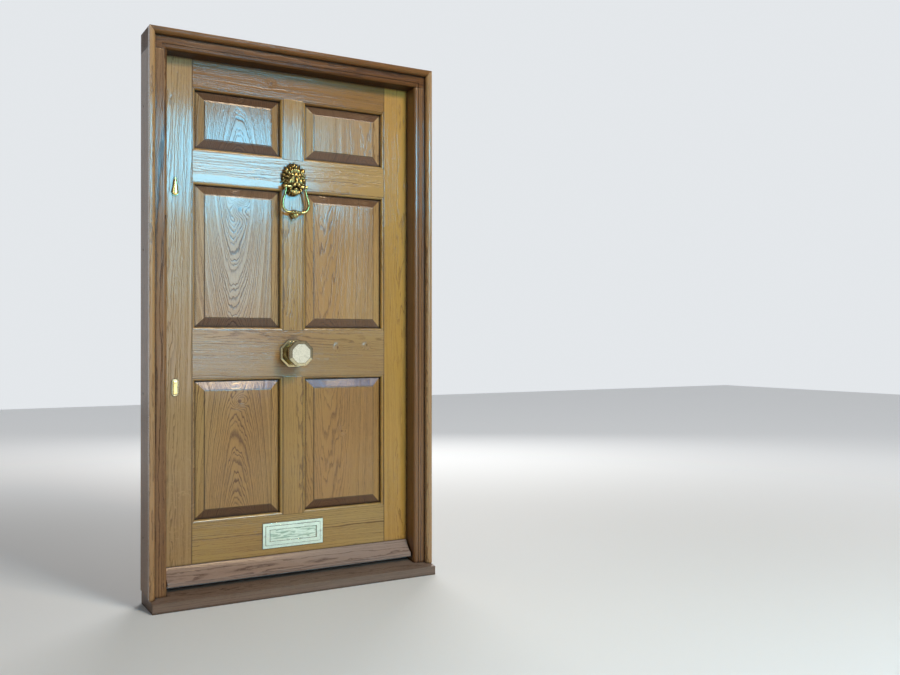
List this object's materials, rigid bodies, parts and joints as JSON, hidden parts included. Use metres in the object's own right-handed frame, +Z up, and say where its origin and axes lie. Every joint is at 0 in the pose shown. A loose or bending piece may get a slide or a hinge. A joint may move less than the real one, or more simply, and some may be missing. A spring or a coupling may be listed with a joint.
{
  "type": "panelled front door",
  "caption": "Panelled oak front door hung in its moulded frame, with a sill, weatherboard, lion's head knocker, octagonal knob, letter plate and keyhole covers.",
  "frame": {"origin": "centre of the sill's underside, in the plane of the frame's front face", "axes": "+X to the right as seen from outside, +Y into the house, +Z up"},
  "size_m": [1.15, 0.188, 2.092],
  "materials": {
    "leaf_oak": "satin varnish",
    "frame_oak": "satin varnish",
    "brass": "polished",
    "steel": "plated"
  },
  "bodies": {
    "frame": {"left_jamb": "frame_oak", "right_jamb": "frame_oak", "head": "frame_oak", "sill": "frame_oak", "left_moulding": "frame_oak", "right_moulding": "frame_oak", "head_moulding": "frame_oak", "water_bar": "brass", "upper_keep": "brass", "lower_keep": "brass", "frame_screws": "brass", "hinge_pins": "brass", "top_hinge_frame_plate": "brass", "middle_hinge_frame_plate": "brass", "bottom_hinge_frame_plate": "brass"},
    "leaf": {"lock_stile": "leaf_oak", "hinge_stile": "leaf_oak", "top_rail": "leaf_oak", "frieze_rail": "leaf_oak", "lock_rail": "leaf_oak", "bottom_rail": "leaf_oak", "top_muntin": "leaf_oak", "middle_muntin": "leaf_oak", "lower_muntin": "leaf_oak", "top_left_panel": "leaf_oak", "top_right_panel": "leaf_oak", "middle_left_panel": "leaf_oak", "middle_right_panel": "leaf_oak", "lower_left_panel": "leaf_oak", "lower_right_panel": "leaf_oak", "weatherboard": "leaf_oak", "top_hinge_door_plate": "brass", "middle_hinge_door_plate": "brass", "bottom_hinge_door_plate": "brass", "leaf_screws": "brass", "upper_escutcheon": "brass", "lower_escutcheon": "brass", "cover_pins": "brass", "inner_escutcheons": "brass", "knob_rose": "brass", "knob": "brass", "lion_mask": "brass", "knocker_strike": "brass", "letter_plate": "brass", "inner_letter_plate": "brass", "through_nuts": "brass", "upper_lock": "steel", "lower_lock": "steel", "knob_bolt": "steel", "knob_nut": "steel", "knocker_bolts": "steel", "letter_bolts": "steel", "flap_rod": "steel", "flap_spring": "steel"},
    "knocker_ring": {"knocker_ring": "brass"},
    "letter_flap": {"letter_flap": "brass"},
    "upper_cover": {"upper_cover": "brass"},
    "lower_cover": {"lower_cover": "brass"},
    "upper_bolt": {"upper_bolt": "brass"},
    "lower_bolt": {"lower_bolt": "brass"}
  },
  "joints": [
    {"name": "leaf_swing", "type": "hinge", "parent": "frame", "child": "leaf", "pos_m": [0.5205, 0.1225, 1.0435], "axis": [0, 0, -1], "range_deg": [0, 110]},
    {"name": "knocker_swing", "type": "hinge", "parent": "leaf", "child": "knocker_ring", "pos_m": [0, 0.043, 1.571], "axis": [-1, 0, 0], "range_deg": [0, 85]},
    {"name": "flap_swing", "type": "hinge", "parent": "leaf", "child": "letter_flap", "pos_m": [0, 0.077, 0.23175], "axis": [1, 0, 0], "range_deg": [0, 75], "stiffness_Nm_per_rad": 0.04, "springref_deg": -20.05},
    {"name": "upper_cover_swing", "type": "hinge", "parent": "leaf", "child": "upper_cover", "pos_m": [-0.462, 0.0677, 1.568], "axis": [0, -1, 0], "range_deg": [-28, 130]},
    {"name": "lower_cover_swing", "type": "hinge", "parent": "leaf", "child": "lower_cover", "pos_m": [-0.462, 0.0677, 0.81], "axis": [0, -1, 0], "range_deg": [-80, 130]},
    {"name": "upper_bolt_slide", "type": "slide", "parent": "leaf", "child": "upper_bolt", "axis": [-1, 0, 0], "range_m": [0, 0.02]},
    {"name": "lower_bolt_slide", "type": "slide", "parent": "leaf", "child": "lower_bolt", "axis": [-1, 0, 0], "range_m": [0, 0.02]}
  ]
}
